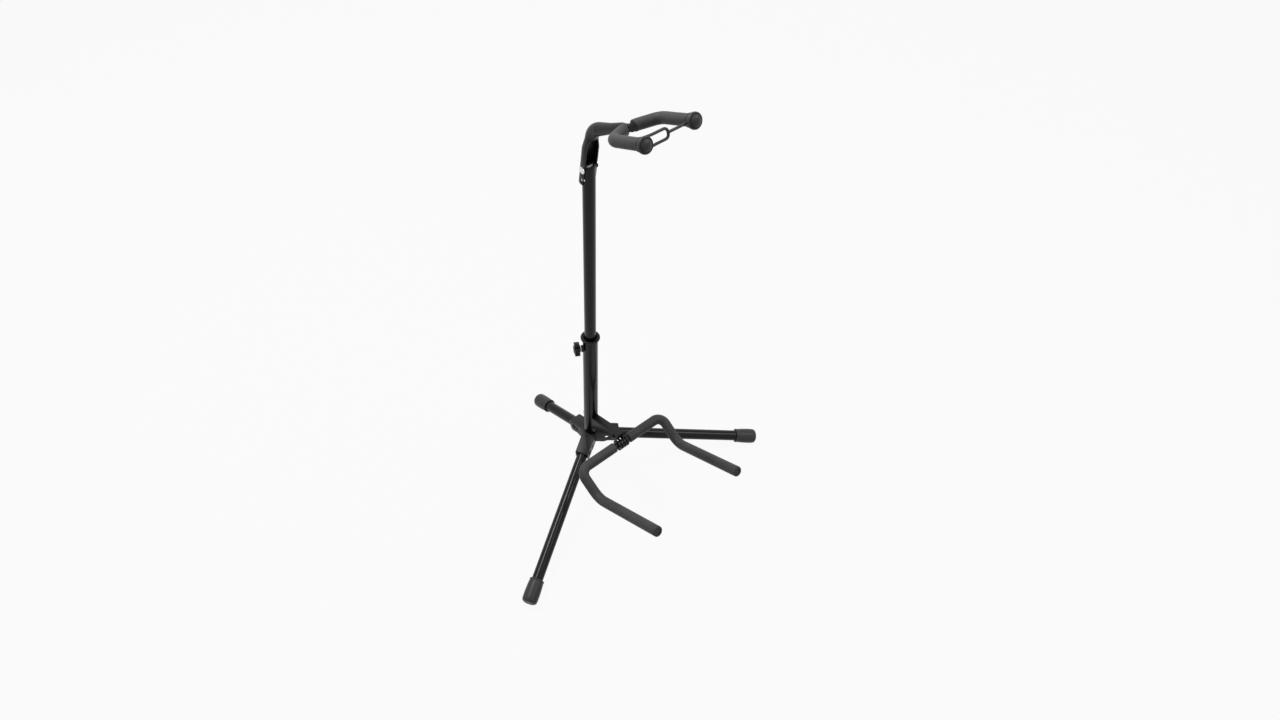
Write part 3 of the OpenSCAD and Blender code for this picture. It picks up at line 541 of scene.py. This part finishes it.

# %% [markdown]
# Between the hood's sides the yoke's rivet carries a zinc spacer, the grey line seen across the pole's
# open top, its colour darkened as painted shade. It is a small tube with chamfered ends, turned along the
# rivet. It adds to the frame and replaces nothing.

# %% Spacer on the yoke's rivet
pivot_z = 681
spacer_half = 7.9
spacer_length = 2 * spacer_half
spacer_radius, chamfer = 3.55, 0.3
spacer_profile = [(0, 3.1), (0, 3.3), (chamfer, spacer_radius), (spacer_length - chamfer, spacer_radius),
                  (spacer_length, 3.3), (spacer_length, 3.1)]
turned("pivot_spacer", at(-spacer_half, 0, pivot_z), (1, 0, 0), spacer_profile)
spacer = close_mesh()
bpy.ops.object.shade_smooth_by_angle(angle=radians(40))
# the spacer's finish carries painted shade: a darker colour than bare zinc for the shade in the slot
spacer.data.materials.append(zinc_darkened_as_painted_shade)
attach(spacer, "pole")
print("spacer", spacer_length, "mm long")

# %% [markdown]
# The black clip is the bearing of the cradle's rod. Seen close, it is a small ribbed barrel that hugs the
# bracket's nose, with a tongue that reaches back between the bracket's sides. The barrel is what a copy of
# the clip and a ribbed roller have in common, which a boolean works out, and the tongue is the same copy
# trimmed with bisects. Drawing the ribs by hand would risk a barrel that no longer fits the bracket.

# %% The clip that holds the cradle's rod
barrel_half = 10.4
barrel_length = 2 * barrel_half
rib_radius, groove_radius, groove_slope = 9.8, 8.0, 0.3
core_radius, end_radius, end_slope = 0.6, 9.0, 0.6
rib_profile = [(0, core_radius), (0, end_radius), (end_slope, rib_radius)]
for start, end in ((3.4, 5.6), (9.2, 11.6), (15.2, 17.4)):
    rib_profile += [(start, rib_radius), (start + groove_slope, groove_radius),
                    (end - groove_slope, groove_radius), (end, rib_radius)]
rib_profile += [(barrel_length - end_slope, rib_radius), (barrel_length, end_radius),
                (barrel_length, core_radius)]
turned("ribbed roller", at(-barrel_half, rod_y, rod_z), (1, 0, 0), rib_profile, sides=56)
roller = close_mesh()

barrel = copy_of_node("cradle_clip", "cradle_clip_barrel")
common = barrel.modifiers.new("common shape", "BOOLEAN")
common.operation = "INTERSECT"
common.solver = "EXACT"
common.object = roller
bpy.ops.object.modifier_apply(modifier=common.name)
bpy.data.objects.remove(roller, do_unlink=True)
ease_and_fit(barrel, "cradle_clip", 0.25, 2, gloss_plastic, "stand", sharp=35)

tongue_half = 5
tongue_front = -79.5
tongue = copy_of_node("cradle_clip", "cradle_clip_tongue")
bpy.ops.object.mode_set(mode="EDIT")
for place, facing in ((at(tongue_half, 0, 0), (-1, 0, 0)), (at(-tongue_half, 0, 0), (1, 0, 0)),
                      (at(0, tongue_front, 0), (0, 1, 0))):
    bpy.ops.mesh.select_all(action="SELECT")
    bpy.ops.mesh.bisect(plane_co=place, plane_no=facing, clear_inner=True, use_fill=True)
bpy.ops.object.mode_set(mode="OBJECT")
ease_and_fit(tongue, "cradle_clip", 0.3, 2, gloss_plastic, "stand", sharp=35)

# %% [markdown]
# The strap is one piece of soft rubber: an eye round the far cap's neck, a narrow band, and a long loop
# that hooks behind the near cap's head. It could be extruded as a flat outline, but its edges are round. So
# it is drawn as round bars, joined and remeshed into one skin so that they run into each other as moulded
# rubber does, and then smoothed.


# %% Strap helpers
def bar_along(name, points, radius, closed=False):
    leave_edit_mode()
    path = bpy.data.curves.new(name, "CURVE")
    path.dimensions = "3D"
    line = path.splines.new("POLY")
    line.points.add(len(points) - 1)
    for spot, p in zip(line.points, points):
        spot.co = (*p, 1)
    line.use_cyclic_u = closed
    path.bevel_depth = radius
    path.bevel_resolution = 6
    path.use_fill_caps = True
    bar = bpy.data.objects.new(name, path)
    bpy.context.collection.objects.link(bar)
    bar.select_set(True)
    bpy.context.view_layer.objects.active = bar
    bpy.ops.object.convert(target="MESH")
    return bpy.context.object


collar_length, bar_beyond_collar = 4.0, 1.8
cap_groove = sleeve_end + collar_length + bar_beyond_collar
across_loop = Vector((0, -sin(tilt), -cos(tilt)))


def on_strap(x, drop_by):
    """A place in the plane of the caps' necks, x to the side and drop_by below the rod's line."""
    return on_yoke(x, cap_groove) + across_loop * drop_by * MM


# %% [markdown]
# The eye's line is a circle one bar radius outside the cap's neck, so that the rubber hugs it. The loop's
# line goes round the other neck, narrows to a long slot and closes in a small round end where the band
# begins. Each pair below is a place along the strap and half the loop's width there, to the middle of the
# bar.

# %% Neck strap
eye_bar, loop_bar = 1.85, 1.9
eye = neck_radius + eye_bar
half_loop = 6.3
skin_cell = 0.45
loop_sides = [(-35, 7.35), (-31, 7.0), (-27, 6.6), (-23, 6.4), (-19, half_loop), (-12, half_loop),
              (-4.6, half_loop), (-2.6, 5.9), (-1.0, 4.9), (0.1, 3.4), (0.6, 1.7)]
loop_end = (0.8, 0)
band_places = (32.0, 20.0, 8.0, 0.4)

eye_line = [on_strap(yoke_half + eye * cos(i * pi / 24), eye * sin(i * pi / 24)) for i in range(48)]
loop_line = [on_strap(-yoke_half - eye * cos(i * pi / 16), eye * sin(i * pi / 16)) for i in range(-8, 9)]
loop_line += [on_strap(x, half) for x, half in loop_sides]
loop_line.append(on_strap(*loop_end))
loop_line += [on_strap(x, -half) for x, half in reversed(loop_sides)]

bars = [bar_along("strap eye", eye_line, eye_bar * MM, closed=True),
        bar_along("strap loop", loop_line, loop_bar * MM, closed=True),
        bar_along("strap band", [on_strap(x, 0) for x in band_places], loop_bar * MM)]
bpy.ops.object.select_all(action="DESELECT")
for bar in bars:
    bar.select_set(True)
bpy.context.view_layer.objects.active = bars[0]
bpy.ops.object.join()
strap = bpy.context.object
strap.name = "neck_strap_piece"
skin = strap.modifiers.new("one skin", "REMESH")
skin.mode = "VOXEL"
skin.voxel_size = skin_cell * MM
bpy.ops.object.modifier_apply(modifier=skin.name)
ease = strap.modifiers.new("soft edges", "SMOOTH")
ease.iterations = 6
ease.factor = 0.5
bpy.ops.object.modifier_apply(modifier=ease.name)
bpy.ops.object.mode_set(mode="EDIT")
end_piece(rubber, "yoke", "neck_strap", smooth_below=80)

# %% [markdown]
# A product shot has a white background while the object keeps its shadow. More light would whiten the
# background too, but it would wash out the black stand. So a helper tells the rays that see a surface
# directly, in a reflection or through a clear material from the rest, and another one makes a soft lamp and
# aims it.


# %% Studio helpers
def seen_directly(tree):
    """Is 1 where a ray comes from the camera, a reflection or a clear material, and 0 for other light."""
    rays = tree.nodes.new("ShaderNodeLightPath")
    seen = tree.nodes.new("ShaderNodeMath")
    seen.operation = "MAXIMUM"
    through = tree.nodes.new("ShaderNodeMath")
    through.operation = "MAXIMUM"
    tree.links.new(rays.outputs["Is Camera Ray"], seen.inputs[0])
    tree.links.new(rays.outputs["Is Glossy Ray"], seen.inputs[1])
    tree.links.new(seen.outputs[0], through.inputs[0])
    tree.links.new(rays.outputs["Is Transmission Ray"], through.inputs[1])
    return through.outputs[0]


def lamp(name, place, aim_at, size, power):
    bpy.ops.object.light_add(type="AREA", location=place)
    light = bpy.context.object
    light.name = name
    light.data.size = size
    light.data.energy = power
    direction = Vector(aim_at) - Vector(place)
    light.rotation_euler = direction.to_track_quat("-Z", "Y").to_euler()


# %% [markdown]
# The floor is a wide pale plane, a hair below the feet so that no two surfaces coincide. It could be a
# curved backdrop, which hides the horizon. A plane that turns nearly white where it is seen directly is
# simpler, and leaves only a faint horizon in low views. Most of it glows for those rays only, and the rest
# is plain grey paint that takes the stand's shadow.

# %% Floor
floor_size = 60
below_feet = 0.0004
floor_grey = 0.45
white_share = 0.94
bpy.ops.object.select_all(action="DESELECT")
bpy.ops.mesh.primitive_plane_add(size=floor_size, location=(0, 0, -below_feet))
floor = bpy.context.object
floor.name = "floor"
floor_finish = bpy.data.materials.new("pale floor")
floor_finish.use_nodes = True
tree = floor_finish.node_tree
paint = tree.nodes["Principled BSDF"]
paint.inputs["Base Color"].default_value = (floor_grey, floor_grey, floor_grey, 1)
paint.inputs["Roughness"].default_value = 0.9
glow = tree.nodes.new("ShaderNodeEmission")
glow.inputs["Color"].default_value = (1, 1, 1, 1)
glow.inputs["Strength"].default_value = 1.0
share = tree.nodes.new("ShaderNodeMath")
share.operation = "MULTIPLY"
share.inputs[1].default_value = white_share
blend = tree.nodes.new("ShaderNodeMixShader")
tree.links.new(seen_directly(tree), share.inputs[0])
tree.links.new(share.outputs[0], blend.inputs["Fac"])
tree.links.new(paint.outputs["BSDF"], blend.inputs[1])
tree.links.new(glow.outputs["Emission"], blend.inputs[2])
tree.links.new(blend.outputs["Shader"], tree.nodes["Material Output"].inputs["Surface"])
floor.data.materials.append(floor_finish)
print("floor", floor_size, "m wide")

# %% [markdown]
# The surround is white where it is seen and weak as a light, so that the stand keeps dark and bright sides.
# Two soft lamps light it: a strong one from behind and above, and a weaker one from the front. The standard
# view transform keeps white as white.

# %% World and lamps
world_light = 0.12
world = bpy.data.worlds.new("studio")
bpy.context.scene.world = world
world.use_nodes = True
tree = world.node_tree
soft = tree.nodes["Background"]
soft.inputs["Color"].default_value = (1, 1, 1, 1)
soft.inputs["Strength"].default_value = world_light
white = tree.nodes.new("ShaderNodeBackground")
white.inputs["Color"].default_value = (1, 1, 1, 1)
white.inputs["Strength"].default_value = 1.0
blend = tree.nodes.new("ShaderNodeMixShader")
tree.links.new(seen_directly(tree), blend.inputs["Fac"])
tree.links.new(soft.outputs["Background"], blend.inputs[1])
tree.links.new(white.outputs["Background"], blend.inputs[2])
tree.links.new(blend.outputs["Shader"], tree.nodes["World Output"].inputs["Surface"])

lamp_size = 0.7
lamp("key lamp", (-0.4, 0.9, 2.1), (0, 0, 0.4), lamp_size, 25)
lamp("fill lamp", (0.95, -0.8, 1.8), (0, 0, 0.3), lamp_size, 8)
view_settings = bpy.context.scene.view_settings
view_settings.view_transform = "Standard"
print("studio ready")
